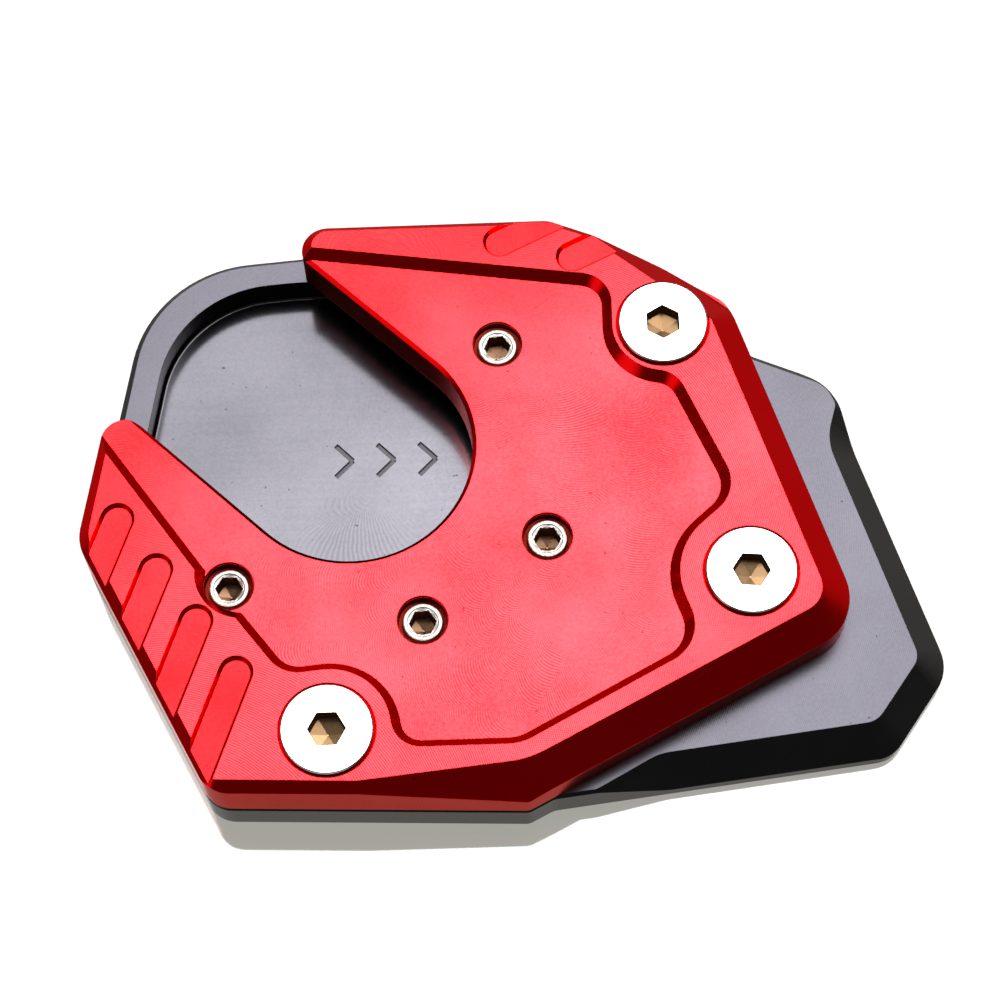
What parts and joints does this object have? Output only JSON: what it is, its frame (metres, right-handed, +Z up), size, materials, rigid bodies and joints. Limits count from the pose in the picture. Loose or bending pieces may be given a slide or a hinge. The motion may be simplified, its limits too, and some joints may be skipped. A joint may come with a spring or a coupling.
{
  "type": "motorcycle kickstand foot enlarger",
  "caption": "Two-plate clamp-on pad that widens a motorcycle kickstand's foot, with a pocket for the foot, a leg opening, countersunk clamp screws and height-setting set screws.",
  "frame": {"origin": "middle of the pad's bounding box, at the underside of the base plate", "axes": "+X to the right along the pad's long side, away from the leg opening; +Y to the back; +Z up, out of the ground"},
  "size_m": [0.1072, 0.077, 0.0146],
  "materials": {
    "black_anodised": "black anodised, fine milled, satin on the flat faces and glossy on the bevels",
    "red_anodised": "red anodised, fine milling swirls on the flat faces, glossy bevels",
    "clamp_screw_steel": "bright turned stainless steel",
    "set_screw_steel": "stainless steel with a dark socket"
  },
  "bodies": {
    "plates": {"base_plate": "black_anodised", "top_plate": "red_anodised", "clamp_screw_front": "clamp_screw_steel", "clamp_screw_right": "clamp_screw_steel", "clamp_screw_rear": "clamp_screw_steel"},
    "rear_set_screw": {"set_screw_rear": "set_screw_steel"},
    "middle_set_screw": {"set_screw_middle": "set_screw_steel"},
    "front_set_screw": {"set_screw_front": "set_screw_steel"},
    "left_set_screw": {"set_screw_left": "set_screw_steel"}
  },
  "joints": [
    {"name": "rear_set_screw_travel", "type": "slide", "parent": "plates", "child": "rear_set_screw", "axis": [0, 0, 1], "range_m": [-0.0035, 0.0005]},
    {"name": "middle_set_screw_travel", "type": "slide", "parent": "plates", "child": "middle_set_screw", "axis": [0, 0, 1], "range_m": [-0.0035, 0.0005]},
    {"name": "front_set_screw_travel", "type": "slide", "parent": "plates", "child": "front_set_screw", "axis": [0, 0, 1], "range_m": [-0.0035, 0.0005]},
    {"name": "left_set_screw_travel", "type": "slide", "parent": "plates", "child": "left_set_screw", "axis": [0, 0, 1], "range_m": [-0.0035, 0.0005]}
  ]
}
